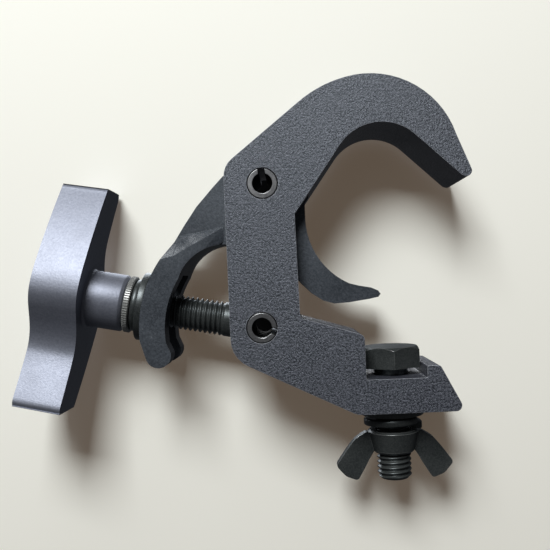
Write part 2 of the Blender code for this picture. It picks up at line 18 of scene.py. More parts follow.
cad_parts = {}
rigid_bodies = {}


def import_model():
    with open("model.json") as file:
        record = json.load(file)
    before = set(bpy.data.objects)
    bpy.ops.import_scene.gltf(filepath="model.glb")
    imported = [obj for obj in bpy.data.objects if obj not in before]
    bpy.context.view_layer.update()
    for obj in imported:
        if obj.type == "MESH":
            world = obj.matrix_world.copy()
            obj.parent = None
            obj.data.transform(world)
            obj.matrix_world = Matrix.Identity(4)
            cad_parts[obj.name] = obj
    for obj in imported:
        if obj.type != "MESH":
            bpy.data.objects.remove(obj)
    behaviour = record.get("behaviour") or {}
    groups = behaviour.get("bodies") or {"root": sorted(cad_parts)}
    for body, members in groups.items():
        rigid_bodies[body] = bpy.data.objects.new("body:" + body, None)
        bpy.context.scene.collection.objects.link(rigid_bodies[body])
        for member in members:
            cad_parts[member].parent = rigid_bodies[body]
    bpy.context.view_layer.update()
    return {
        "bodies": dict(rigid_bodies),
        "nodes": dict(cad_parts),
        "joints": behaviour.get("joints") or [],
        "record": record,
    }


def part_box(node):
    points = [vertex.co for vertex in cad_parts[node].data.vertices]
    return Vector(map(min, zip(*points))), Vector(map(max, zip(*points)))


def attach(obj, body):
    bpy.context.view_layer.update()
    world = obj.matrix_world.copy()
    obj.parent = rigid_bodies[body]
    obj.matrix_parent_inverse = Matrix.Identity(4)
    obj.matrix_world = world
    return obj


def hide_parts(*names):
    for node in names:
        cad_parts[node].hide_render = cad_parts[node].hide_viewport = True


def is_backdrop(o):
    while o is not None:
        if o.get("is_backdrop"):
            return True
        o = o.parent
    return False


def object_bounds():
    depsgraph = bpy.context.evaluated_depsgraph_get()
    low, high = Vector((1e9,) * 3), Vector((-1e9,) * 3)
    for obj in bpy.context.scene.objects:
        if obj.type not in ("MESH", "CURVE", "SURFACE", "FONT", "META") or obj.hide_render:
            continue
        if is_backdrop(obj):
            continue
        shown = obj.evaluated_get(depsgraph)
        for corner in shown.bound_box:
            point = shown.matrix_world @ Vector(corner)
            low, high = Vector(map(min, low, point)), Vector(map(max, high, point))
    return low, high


LOG = logging.getLogger("pipe_clamp")
MM = 0.001
TURN = 2.0 * math.pi
THREAD_PITCH = 1.75 * MM
THREAD_DEPTH = 0.95 * MM
THREAD_FLAT = 0.14           # share of half a pitch that stays flat at a crest and at a root
RUN_IN_TURNS = 1.25          # turns over which a thread reaches its full depth
BOLT_CHAMFER = 1.2 * MM
WASHER_BORE = 6.5 * MM
FORGED_EDGE = 0.4 * MM


class Slot(Enum):
    """Material slots of the record."""

    POWDER_COAT = "powder_coat"
    SATIN_BLACK = "satin_black"
    HANDLE_COAT = "handle_coat"
    BLACK_OXIDE = "black_oxide"
    BRIGHT_STEEL = "bright_steel"


# ---------------------------------------------------------------- nodes


class Value:
    """A number's socket, with arithmetic that adds Math nodes."""

    def __init__(self, graph: Graph, socket: bpy.types.NodeSocket) -> None:
        """Wrap a socket of a graph."""
        self.graph = graph
        self.socket = socket

    def math(self, operation: str, *others: Value | float, first: Value | float | None = None) -> Value:
        """Add a Math node.

        Args:
            operation: Name of the operation.
            others: Operands after this one.
            first: Operand before this one, for the reflected forms.

        Returns:
            The node's result.
        """
        operands = [self, *others] if first is None else [first, self, *others]
        return self.graph.value("ShaderNodeMath", {"operation": operation}, dict(enumerate(operands)))

    def __add__(self, other: Value | float) -> Value:
        """Sum."""
        return self.math("ADD", other)

    __radd__ = __add__

    def __sub__(self, other: Value | float) -> Value:
        """Difference."""
        return self.math("SUBTRACT", other)

    def __rsub__(self, other: Value | float) -> Value:
        """Difference from a number."""
        return self.math("SUBTRACT", first=other)

    def __mul__(self, other: Value | float) -> Value:
        """Product."""
        return self.math("MULTIPLY", other)

    __rmul__ = __mul__

    def __truediv__(self, other: Value | float) -> Value:
        """Quotient."""
        return self.math("DIVIDE", other)

    def clamped(self) -> Value:
        """Value held between 0 and 1."""
        return self.math("MINIMUM", 1.0).math("MAXIMUM", 0.0)


class Graph:
    """A node tree that is filled through one method."""

    def __init__(self, tree: bpy.types.NodeTree) -> None:
        """Work on a tree."""
        self.tree = tree

    def node(self, kind: str, settings: dict | None = None,
             inputs: dict | None = None) -> bpy.types.Node:
        """Add a node.

        Args:
            kind: Node type.
            settings: Properties, set first.
            inputs: Values or links by socket name or number.

        Returns:
            The new node.
        """
        made = self.tree.nodes.new(kind)
        for key, value in (settings or {}).items():
            setattr(made, key, value)
        for key, value in (inputs or {}).items():
            socket = made.inputs[key]
            if isinstance(value, Value):
                value = value.socket
            if isinstance(value, bpy.types.NodeSocket):
                self.tree.links.new(value, socket)
            else:
                socket.default_value = value
        return made

    def value(self, kind: str, settings: dict | None = None, inputs: dict | None = None,
              output: int | str = 0) -> Value:
        """Add a node and wrap one of its outputs."""
        return Value(self, self.node(kind, settings, inputs).outputs[output])

    def blend(self, share: Value | float, first: object, second: object) -> bpy.types.NodeSocket:
        """Mix two colours."""
        settings = {"data_type": "RGBA", "clamp_factor": True}
        mixed = self.node("ShaderNodeMix", settings, {0: share, 6: first, 7: second})
        return mixed.outputs[2]


# ---------------------------------------------------------------- finishes


Colour = tuple[float, float, float]
COOL_TINT: Colour = (0.86, 0.93, 1.0)


def opaque(colour: Colour) -> tuple[float, float, float, float]:
    """Colour with full alpha."""
    return (*colour, 1.0)


@dataclass(frozen=True)
class Finish:
    """A coated or bare metal with grain, mottling and worn edges.

    Attributes:
        name: Material name.
        deep: Colour in the hollows of the grain.
        raised: Colour of the grain's tops.
        worn: Colour where an edge is rubbed through.
        grain: Size of one grain.
        relief: Height of the grain.
        patch: Size of the slow changes of tone.
        patch_share: How strong those changes are.
        roughness: Mean roughness.
        roughness_spread: How far the roughness wanders.
        metallic: Share of metal.
        wear: How much of an edge is rubbed, 0 to 1.
        specks: How many rubbed specks lie on open faces, 0 to 1.
        contrast: How sharply the grain's tone changes.
        specular: Strength of the surface reflection; 0.5 is plain plastic.
    """

    name: str
    deep: Colour
    raised: Colour
    worn: Colour
    grain: float
    relief: float
    patch: float = 12.0 * MM
    patch_share: float = 0.25
    roughness: float = 0.5
    roughness_spread: float = 0.08
    metallic: float = 0.0
    wear: float = 0.3
    specks: float = 0.0
    contrast: float = 2.6
    specular: float = 0.5

    def material(self) -> bpy.types.Material:
        """Build the material.

        Returns:
            A material with its nodes on Object coordinates and on the "edge" attribute.
        """
        made = bpy.data.materials.new(self.name)
        made.use_nodes = True
        graph = Graph(made.node_tree)
        shader = made.node_tree.nodes["Principled BSDF"]
        place = graph.node("ShaderNodeTexCoord").outputs["Object"]

        def noise(size: float, detail: float = 2.0, roughness: float = 0.5) -> Value:
            """Noise from 0 to 1 whose features are about as large as size."""
            inputs = {"Vector": place, "Scale": 1.0 / size, "Detail": detail, "Roughness": roughness}
            return graph.value("ShaderNodeTexNoise", None, inputs)

        grain = noise(self.grain * 1.6, 3.0, 0.6)
        fine = noise(self.grain * 0.6, 2.0, 0.6)
        patches = noise(self.patch, 3.0, 0.55)
        edge = graph.value("ShaderNodeAttribute", {"attribute_name": "edge"}, None, "Fac")
        slow = patches - 0.5
        # The grain's tops are lighter, with slow changes of tone over them.
        tops = (grain * 0.7 + fine * 0.3 - 0.5) * self.contrast + 0.45 + slow * self.patch_share * 4.0
        tone = graph.blend(tops.clamped(), opaque(self.deep), opaque(self.raised))
        # Edges rub through first, unevenly; specks show on open faces too. The edge attribute also
        # carries the trigger arm's painted ridge highlight.
        rubbed = (edge * 2.0 + (fine - 0.5) * 1.1 + slow * 1.4 - (1.45 - self.wear)) * 3.0
        flecks = noise(self.grain * 1.3, 1.0) + slow * 0.5 - (0.82 - 0.14 * self.specks)
        bare = rubbed.clamped() * min(1.0, self.wear * 2.0)
        bare = bare.math("MAXIMUM", (flecks * 14.0).clamped() * self.specks)
        colour = graph.blend(bare, tone, opaque(self.worn))
        spread = slow * self.roughness_spread * 2.0 + (fine - 0.5) * self.roughness_spread
        rough = spread + self.roughness - bare * 0.12
        graph.tree.links.new(colour, shader.inputs["Base Color"])
        graph.tree.links.new(rough.socket, shader.inputs["Roughness"])
        shader.inputs["Metallic"].default_value = self.metallic
        shader.inputs["Specular IOR Level"].default_value = self.specular
        shader.inputs["Specular Tint"].default_value = opaque(COOL_TINT)
        height = grain * 0.7 + fine * 0.45
        bump = graph.node("ShaderNodeBump", None,
                          {"Strength": 1.0, "Distance": self.relief, "Height": height})
        graph.tree.links.new(bump.outputs["Normal"], shader.inputs["Normal"])
        return made


FINISHES = {
    Slot.POWDER_COAT: Finish(
        "textured_powder_coat", (0.006, 0.007, 0.011), (0.094, 0.096, 0.116), (0.50, 0.51, 0.54),
        grain=0.41 * MM, relief=0.34 * MM, patch_share=0.06, roughness=0.385, wear=0.70, contrast=6.0,
        specular=1.0),
    Slot.SATIN_BLACK: Finish(
        "satin_black", (0.014, 0.017, 0.022), (0.054, 0.060, 0.070), (0.40, 0.41, 0.42),
        grain=0.42 * MM, relief=0.080 * MM, patch_share=0.2, roughness=0.46, metallic=0.10,
        wear=0.50, specks=0.35, contrast=3.4, specular=0.8),
    Slot.HANDLE_COAT: Finish(
        "charcoal_handle_coat", (0.180, 0.190, 0.228), (0.250, 0.260, 0.304), (0.34, 0.35, 0.38),
        grain=0.46 * MM, relief=0.060 * MM, patch_share=0.10, roughness=0.47, metallic=0.60,
        wear=0.15),
    Slot.BLACK_OXIDE: Finish(
        "oiled_black_oxide", (0.036, 0.041, 0.041), (0.090, 0.096, 0.093), (0.52, 0.53, 0.51),
        grain=0.35 * MM, relief=0.012 * MM, patch_share=0.3, roughness=0.34, metallic=0.50,
        wear=0.60),
    Slot.BRIGHT_STEEL: Finish(
        "worn_steel", (0.20, 0.20, 0.205), (0.36, 0.36, 0.36), (0.60, 0.61, 0.60),
        grain=0.40 * MM, relief=0.010 * MM, patch_share=0.3, roughness=0.36, metallic=1.0,
        wear=0.3),
}

COLLAR_FINISH = Finish(
    "machined_steel", (0.26, 0.26, 0.25), (0.42, 0.42, 0.40), (0.62, 0.62, 0.60),
    grain=0.40 * MM, relief=0.010 * MM, roughness=0.42, metallic=0.75)

# Painted shade: near-black, barely reflective paint for the inside of the slotted pins, where their deep
# bores lie in shade.
BORE_PAINTED_SHADE = Finish(
    "painted_bore_shade", (0.004, 0.004, 0.004), (0.012, 0.012, 0.012), (0.05, 0.05, 0.05),
    grain=0.50 * MM, relief=0.02 * MM, roughness=0.8, wear=0.0, specular=0.05)


class Workshop:
    """Holds the loaded frame and the finished materials, and hands over each piece."""

    def __init__(self, frame: dict) -> None:
        """Keep the frame and make every finish once, and the painted shade for the pins' bores."""
        self.frame = frame
        self.materials = {slot: finish.material() for slot, finish in FINISHES.items()}
        self.bore_shade_material = BORE_PAINTED_SHADE.material()
        self.collar_material = COLLAR_FINISH.material()
        self.joints = {joint["name"]: joint for joint in frame["joints"]}

    def hand_over(self, piece: bpy.types.Object, body: str, slot: Slot, *nodes: str) -> None:
        """Give a finished piece its body and hide the solids that it stands for.

        Args:
            piece: The piece, in place.
            body: Body that carries it.
            slot: Material slot; not used.
            nodes: Solids that it replaces.
        """
        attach(piece, body)
        if nodes:
            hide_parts(*nodes)
        LOG.info("%s rides on %s: %d faces", piece.name, body, len(piece.data.polygons))


# ---------------------------------------------------------------- meshes


@dataclass(frozen=True)
class Axis:
    """A line in space along which turned pieces are laid out.

    Attributes:
        origin: Place 0 on the line.
        direction: Way in which places grow.
    """

    origin: Vector
    direction: Vector

    def matrix(self) -> Matrix:
        """Placement whose Z runs along the axis and whose Y stays as near +Y as it can."""
        up = self.direction.normalized()
        side = Vector((0.0, 1.0, 0.0)).cross(up)
        if side.length < 0.1:
            side = Vector((1.0, 0.0, 0.0))
        side.normalize()
        across = up.cross(side)
        turned = Matrix((side, across, up)).transposed().to_4x4()
        return Matrix.Translation(self.origin) @ turned

    def span(self, node: bpy.types.Object) -> tuple[float, float, float]:
        """Lowest and highest place of a solid along the axis, and its reach from it.

        Args:
            node: The solid.

        Returns:
            Lowest place, highest place and largest radius.
        """
        up = self.direction.normalized()
        places = []
        reach = 0.0
        for vert in node.data.vertices:
            offset = vert.co - self.origin
            along = offset.dot(up)
            places.append(along)
            reach = max(reach, (offset - up * along).length)
        return min(places), max(places), reach


def placed(name: str, data: bpy.types.ID) -> bpy.types.Object:
    """Put a mesh, a light or a camera into the scene as an object at the origin."""
    made = bpy.data.objects.new(name, data)
    bpy.context.scene.collection.objects.link(made)
    return made


def to_piece(bm: bmesh.types.BMesh, name: str, material: bpy.types.Material,
             sharp_degrees: float = 50.0, weighted: bool = False) -> bpy.types.Object:
    """Turn a bmesh into a smooth-shaded object at the origin.

    Args:
        bm: The shape, in metres; it is freed.
        name: Piece name.
        material: Its finish.
        sharp_degrees: Edges sharper than this stay sharp.
        weighted: Whether large faces keep flat shading beside rounded edges.

    Returns:
        The new object.
    """
    mesh = bpy.data.meshes.new(name)
    bm.to_mesh(mesh)
    bm.free()
    mesh.shade_smooth()
    mesh.set_sharp_from_angle(angle=math.radians(sharp_degrees))
    mesh.materials.append(material)
    piece = placed(name, mesh)
    if weighted:
        modifier = piece.modifiers.new("weighted", "WEIGHTED_NORMAL")
        modifier.weight = 100
        modifier.keep_sharp = True
        settle(piece)
    return piece


def settle(piece: bpy.types.Object) -> None:
    """Replace an object's mesh with its evaluated one and drop its modifiers."""
    graph = bpy.context.evaluated_depsgraph_get()
    graph.update()
    mesh = bpy.data.meshes.new_from_object(piece.evaluated_get(graph), depsgraph=graph)
    piece.modifiers.clear()
    piece.data = mesh


def copied(node: bpy.types.Object, flat_degrees: float = 0.6) -> bmesh.types.BMesh:
    """Copy a solid with its loose triangles merged back into faces.

    Args:
        node: The solid.
        flat_degrees: Faces that meet flatter than this become one.

    Returns:
        The merged copy.
    """
    bm = bmesh.new()
    bm.from_mesh(node.data)
    bmesh.ops.remove_doubles(bm, verts=bm.verts, dist=0.002 * MM)
    bmesh.ops.dissolve_limit(bm, angle_limit=math.radians(flat_degrees), verts=bm.verts, edges=bm.edges,
                             delimit=set())
    bmesh.ops.dissolve_degenerate(bm, dist=0.01 * MM, edges=bm.edges)
    return bm


def cut_off(bm: bmesh.types.BMesh, point: Vector, direction: Vector) -> None:
    """Cut away what lies past a plane and close the cut.

    Args:
        bm: The shape.
        point: A point of the plane.
        direction: Side that is cut away.
    """
    cut = bmesh.ops.bisect_plane(bm, geom=bm.verts[:] + bm.edges[:] + bm.faces[:],
                                 plane_co=point, plane_no=direction, clear_outer=True)
    rim = [item for item in cut["geom_cut"] if isinstance(item, bmesh.types.BMEdge)]
    bmesh.ops.edgeloop_fill(bm, edges=rim)


def round_edges(bm: bmesh.types.BMesh, radius: float, segments: int = 2,
                sharp_degrees: float = 32.0) -> None:
    """Round the sharp edges and mark the crest of each rounding in the "edge" attribute.

    Args:
        bm: The shape.
        radius: Width of the rounding.
        segments: Faces across it.
        sharp_degrees: Edges that turn more than this are rounded.
    """
    limit = math.radians(sharp_degrees)
    edges = [edge for edge in bm.edges
             if len(edge.link_faces) == 2 and edge.calc_face_angle(0.0) > limit]
    made = bmesh.ops.bevel(bm, geom=edges, offset=radius, offset_type="OFFSET", segments=segments,
                           profile=0.5, affect="EDGES", clamp_overlap=True)
    strips = set(made["faces"])
    layer = bm.verts.layers.float.get("edge") or bm.verts.layers.float.new("edge")
    for vert in {vert for face in strips for vert in face.verts}:
        if all(face in strips for face in vert.link_faces):
            vert[layer] = 1.0


def lathe(profile: list[tuple[float, float]], axis: Axis, steps: int = 96) -> bmesh.types.BMesh:
    """Turn (along, radius) pairs round an axis.

    Args:
        profile: Pairs in metres. A ring's profile is closed; a solid one starts and ends at radius 0.
        axis: Where it lies.
        steps: Sides of a full turn.

    Returns:
        The closed shape, facing outwards.
    """
    bm = bmesh.new()
    rings = []
    for along, radius in profile:
        spots = 1 if radius == 0 else steps
        angles = [TURN * index / steps for index in range(spots)]
        rings.append([bm.verts.new((radius * math.cos(a), radius * math.sin(a), along)) for a in angles])
    pairs = list(zip(rings, rings[1:]))
    if profile[0][1] > 0:
        pairs.append((rings[-1], rings[0]))
    for first, second in pairs:
        for index in range(steps):
            following = (index + 1) % steps
            corners = []
            for ring, spot in ((first, index), (first, following), (second, following), (second, index)):
                vert = ring[spot % len(ring)]
                if vert not in corners:
                    corners.append(vert)
            bm.faces.new(corners)
    bmesh.ops.recalc_face_normals(bm, faces=bm.faces)
    bm.transform(axis.matrix())
    return bm


def ring_profile(low: float, high: float, bore: float, outer: float, soft: float,
                 steps: int = 3) -> list[tuple[float, float]]:
    """Closed section of a flat ring with rounded corners.

    Args:
        low: Start along the axis.
        high: End along the axis.
        bore: Inner radius.
        outer: Outer radius.
        soft: Radius of the corners.
        steps: Lines in each corner.

    Returns:
        (along, radius) pairs.
    """
    centres = [(low + soft, bore + soft), (low + soft, outer - soft),
               (high - soft, outer - soft), (high - soft, bore + soft)]
    result = []
    for corner, (along, radius) in enumerate(centres):
        for step in range(steps + 1):
            angle = math.radians(270 - 90 * corner - 90 * step / steps)
            result.append((along + soft * math.cos(angle), radius + soft * math.sin(angle)))
    return result


def prism(outline: list[tuple[float, float]], low: float, high: float) -> bmesh.types.BMesh:
    """Extrude a closed (x, y) outline from low to high along Z."""
    bm = bmesh.new()
    base = [bm.verts.new((x, y, low)) for x, y in outline]
    top = [bm.verts.new((x, y, high)) for x, y in outline]
    bm.faces.new(base)
    bm.faces.new(list(reversed(top)))
    for index in range(len(outline)):
        following = (index + 1) % len(outline)
        bm.faces.new((base[index], top[index], top[following], base[following]))
    bmesh.ops.recalc_face_normals(bm, faces=bm.faces)
    return bm


def split_ring(outer: float, bore: float, thickness: float, rise: float, sweep_degrees: float,
               start_degrees: float, axis: Axis, base: float, steps: int = 72,
               corner_share: float = 0.14) -> bmesh.types.BMesh:
    """Helical split ring with rounded section corners.

    Args:
        outer: Outer radius.
        bore: Inner radius.
        thickness: Thickness along the axis.
        rise: How far the second end stands above the first.
        sweep_degrees: Angle that it covers.
        start_degrees: Where its low end lies.
        axis: Its axis.
        base: Place of the low end along the axis.
        steps: Sections along the ring.
        corner_share: Size of a corner as a share of the section's smaller side.

    Returns:
        The closed shape.
    """
    soft = min(thickness, outer - bore) * corner_share
    section = [(bore + soft, 0), (outer - soft, 0), (outer, soft), (outer, thickness - soft),
               (outer - soft, thickness), (bore + soft, thickness), (bore, thickness - soft),
               (bore, soft)]
    bm = bmesh.new()
    rings = []
    for index in range(steps + 1):
        share = index / steps
        angle = math.radians(start_degrees + sweep_degrees * share)
        level = base + rise * share
        rings.append([bm.verts.new((r * math.cos(angle), r * math.sin(angle), level + h))
                      for r, h in section])
    for first, second in zip(rings, rings[1:]):
        for index in range(len(section)):
            following = (index + 1) % len(section)
            bm.faces.new((first[index], first[following], second[following], second[index]))
    bm.faces.new(rings[0])
    bm.faces.new(rings[-1])
    bmesh.ops.recalc_face_normals(bm, faces=bm.faces)
    bm.transform(axis.matrix())
    return bm


# ---------------------------------------------------------------- geometry nodes


class RuledPiece:
    """A piece that a geometry tree makes, laid along an axis."""

    weld = 0.0005 * MM
    sharp_degrees = 55.0

    def __init__(self, name: str, sizes: dict[str, float]) -> None:
        """Start the tree and declare its sizes.

        Args:
            name: Tree and piece name.
            sizes: Named inputs and their values.
        """
        self.name = name
        self.sizes = sizes
        self.tree = bpy.data.node_groups.new(name, "GeometryNodeTree")
        self.tree.interface.new_socket("Geometry", in_out="OUTPUT", socket_type="NodeSocketGeometry")
        self.sockets = {}
        for label in sizes:
            made = self.tree.interface.new_socket(label, in_out="INPUT", socket_type="NodeSocketFloat")
            self.sockets[label] = made.identifier
        made = self.tree.interface.new_socket("Finish", in_out="INPUT", socket_type="NodeSocketMaterial")
        self.sockets["Finish"] = made.identifier
        self.graph = Graph(self.tree)
        self.given = self.graph.node("NodeGroupInput")

    def size(self, label: str) -> Value:
        """A named size as a value."""
        return Value(self.graph, self.given.outputs[label])

    def close(self, geometry: bpy.types.NodeSocket, finish: bpy.types.Material,
              axis: Axis) -> bpy.types.Object:
        """End the tree, evaluate it and lay the result along its axis.

        Args:
            geometry: What the tree has made.
            finish: Material of the piece.
            axis: Where it lies; the tree's Z runs along it.

        Returns:
            A plain mesh object at the origin.
        """
        graph = self.graph
        real = graph.node("GeometryNodeRealizeInstances", None, {0: geometry})
        dressed = graph.node("GeometryNodeSetMaterial", None,
                             {"Geometry": real.outputs[0], "Material": self.given.outputs["Finish"]})
        graph.node("NodeGroupOutput", None, {0: dressed.outputs[0]})
        piece = placed(self.name, bpy.data.meshes.new(self.name))
        modifier = piece.modifiers.new(self.name, "NODES")
        modifier.node_group = self.tree
        for label, value in self.sizes.items():
            modifier[self.sockets[label]] = float(value)
        modifier[self.sockets["Finish"]] = finish
        settle(piece)
        piece.data.name = self.name
        bm = bmesh.new()
        bm.from_mesh(piece.data)
        bmesh.ops.remove_doubles(bm, verts=bm.verts, dist=self.weld)
        bm.transform(axis.matrix())
        bm.to_mesh(piece.data)
        bm.free()
        piece.data.shade_smooth()
        piece.data.set_sharp_from_angle(angle=math.radians(self.sharp_degrees))
        return piece


def threaded_rod(name: str, axis: Axis, start: float, end: float, plain_end: float, radius: float,
                 finish: bpy.types.Material) -> bpy.types.Object:
    """Rod with a right-handed V thread and a plain length at its start.

    Args:
        name: Piece name.
        axis: The rod's axis.
        start: Where the rod starts along the axis.
        end: Where it ends.
        plain_end: Where the thread has reached its full depth.
        radius: Radius over the crests.
        finish: Its material.

    Returns:
        The piece.
    """
    sides = 64
    rows_per_turn = 10
    made = RuledPiece(name, {"Radius": radius, "Pitch": THREAD_PITCH, "Depth": THREAD_DEPTH,
                             "Start": start, "End": end, "Plain End": plain_end,
                             "Chamfer": BOLT_CHAMFER})
    graph = made.graph
    rows = round((end - start) / THREAD_PITCH * rows_per_turn)
    length = made.size("End") - made.size("Start")
    rod = graph.node("GeometryNodeMeshCylinder", {"fill_type": "NGON"},
                     {"Vertices": sides, "Side Segments": rows, "Radius": made.size("Radius"),
                      "Depth": length})
    spot = graph.node("GeometryNodeInputPosition").outputs[0]
    parts = graph.node("ShaderNodeSeparateXYZ", None, {0: spot})
    x, y, z = (Value(graph, parts.outputs[index]) for index in range(3))
    along = z + (made.size("Start") + made.size("End")) * 0.5
    turn = y.math("ARCTAN2", x) / TURN
    phase = (along / made.size("Pitch") - turn).math("FRACT")
    ridge = (phase * 2.0 - 1.0).math("ABSOLUTE")
    groove = ((ridge * -1.0 + (1.0 - THREAD_FLAT)) / (1.0 - 2.0 * THREAD_FLAT)).clamped()
    inside = ((along - made.size("Plain End")) / made.size("Pitch") / RUN_IN_TURNS + 1.0).clamped()
    to_end = (made.size("End") - along).math("MAXIMUM", 0.0)
    limit = made.size("Radius") - (made.size("Chamfer") - to_end).math("MAXIMUM", 0.0)
    reach = (made.size("Radius") - groove * inside * made.size("Depth")).math("MINIMUM", limit)
    angle = turn * TURN
    moved = graph.node("ShaderNodeCombineXYZ", None,
                       {0: angle.math("COSINE") * reach, 1: angle.math("SINE") * reach, 2: along})
    shaped = graph.node("GeometryNodeSetPosition", None,
                        {"Geometry": rod.outputs["Mesh"], "Position": moved.outputs[0]})
    return made.close(shaped.outputs[0], finish, axis)


def serrations(name: str, axis: Axis, low: float, high: float, radius: float, count: int,
               finish: bpy.types.Material, bar_share: float = 0.2475) -> bpy.types.Object:
    """Fine ridges round a collar, parallel to its axis.

    Args:
        name: Piece name.
        axis: The collar's axis.
        low: Where the ridges start.
        high: Where they end.
        radius: Radius over the ridges.
        count: How many there are.
        finish: Their material.
        bar_share: Radius of one ridge's bar as a share of their spacing.

    Returns:
        The piece.
    """
    bar_radius = TURN * radius / count * bar_share
    made = RuledPiece(name, {"Radius": radius - bar_radius, "Bar Radius": bar_radius,
                             "Low": low, "High": high})
    graph = made.graph
    circle = graph.node("GeometryNodeMeshCircle", None,
                        {"Vertices": count, "Radius": made.size("Radius")})
    length = made.size("High") - made.size("Low")
    ridge = graph.node("GeometryNodeMeshCylinder", {"fill_type": "NGON"},
                       {"Vertices": 6, "Side Segments": 1, "Radius": made.size("Bar Radius"),
                        "Depth": length})
    bars = graph.node("GeometryNodeInstanceOnPoints", None,
                        {"Points": circle.outputs[0], "Instance": ridge.outputs["Mesh"]})
    middle = graph.node("ShaderNodeCombineXYZ", None, {2: (made.size("Low") + made.size("High")) * 0.5})
    raised = graph.node("GeometryNodeTransform", None,
                        {"Geometry": bars.outputs[0], "Translation": middle.outputs[0]})
    return made.close(raised.outputs[0], finish, axis)


# ---------------------------------------------------------------- sub-assemblies


@dataclass
class ClampFrame:
    """Hook body with its two slotted spring pins.

    Attributes:
        shop: Where the finishes come from.
        edge_radius: Rounding of the body's edges.
        pin_edge: Rounding of a pin's edges.
        pin_wall: Depth from a pin's outside past which a face lies in its bore.
    """

    shop: Workshop
    edge_radius: float = 0.75 * MM
    pin_edge: float = 0.22 * MM
    pin_wall: float = 1.2 * MM

    def build(self) -> None:
        """Make the body and the pins."""
        shop = self.shop
        bm = copied(shop.frame["nodes"]["hook_body"])
        round_edges(bm, self.edge_radius)
        body = to_piece(bm, "hook_body_casting", shop.materials[Slot.POWDER_COAT], weighted=True)
        shop.hand_over(body, "frame", Slot.POWDER_COAT, "hook_body")
        for node in ("arm_pivot_pin", "eye_bolt_pin"):
            bm = copied(shop.frame["nodes"][node])
            round_edges(bm, self.pin_edge, sharp_degrees=50.0)
            pin = to_piece(bm, f"{node}_slotted", shop.materials[Slot.BRIGHT_STEEL], weighted=True)
            self.paint_bore_shade(pin)
            shop.hand_over(pin, "frame", Slot.BRIGHT_STEEL, node)

    def paint_bore_shade(self, pin: bpy.types.Object) -> None:
        """Paint shade onto the inside of a slotted pin with a near-black, barely reflective material."""
        low, high = Vector(pin.bound_box[0]), Vector(pin.bound_box[6])
        middle = (low + high) / 2
        outer = (high.x - low.x) / 2
        pin.data.materials.append(self.shop.bore_shade_material)
        for face in pin.data.polygons:
            offset = face.center - middle
            offset.y = 0.0
            inward = offset.dot(face.normal) < 0.0
            if offset.length < outer - self.pin_wall and inward and abs(face.normal.y) < 0.5:
                face.material_index = 1


@dataclass
class TriggerArm:
    """Jaw, lever and fork.

    Attributes:
        shop: Where the finishes come from.
        edge_radius: Rounding of the edges.
        edge_degrees: Edges that turn more than this are rounded.
        ridge_tilt: How far a ridge face leans up and sideways.
        ridge_area: Smallest face that counts as part of a ridge.
        ridge_inset: Room between a lightened patch and the rim of its face.
        ridge_wear_and_highlight: How much the patch is lightened, 0 to 1; partly rubbed wear, partly a
            painted highlight of the light from above.
    """

    shop: Workshop
    edge_radius: float = 0.50 * MM
    edge_degrees: float = 21.0
    ridge_tilt: float = 0.4
    ridge_area: float = 4.0 * MM * MM
    ridge_inset: float = 0.3 * MM
    ridge_wear_and_highlight: float = 0.50

    def build(self) -> None:
        """Make the arm; its up-facing sloped ridge faces are lightened like its rubbed edges, partly as
        a painted highlight.
        """
        bm = copied(self.shop.frame["nodes"]["trigger_arm"])
        round_edges(bm, self.edge_radius, sharp_degrees=self.edge_degrees)
        # Painted highlight: faces leaning up towards the lamps are lightened through the edge-wear
        # attribute, partly as rubbing.
        rubbed = [face for face in bm.faces
                  if face.normal.z > self.ridge_tilt and abs(face.normal.y) > self.ridge_tilt
                  and face.calc_area() > self.ridge_area]
        bmesh.ops.inset_individual(bm, faces=rubbed, thickness=self.ridge_inset)
        edge = bm.verts.layers.float["edge"]
        for face in rubbed:
            for vert in face.verts:
                vert[edge] = self.ridge_wear_and_highlight
        satin = self.shop.materials[Slot.SATIN_BLACK]
        arm = to_piece(bm, "trigger_arm_forging", satin, self.edge_degrees - 1.0, weighted=True)
        self.shop.hand_over(arm, "arm", Slot.SATIN_BLACK, "trigger_arm")


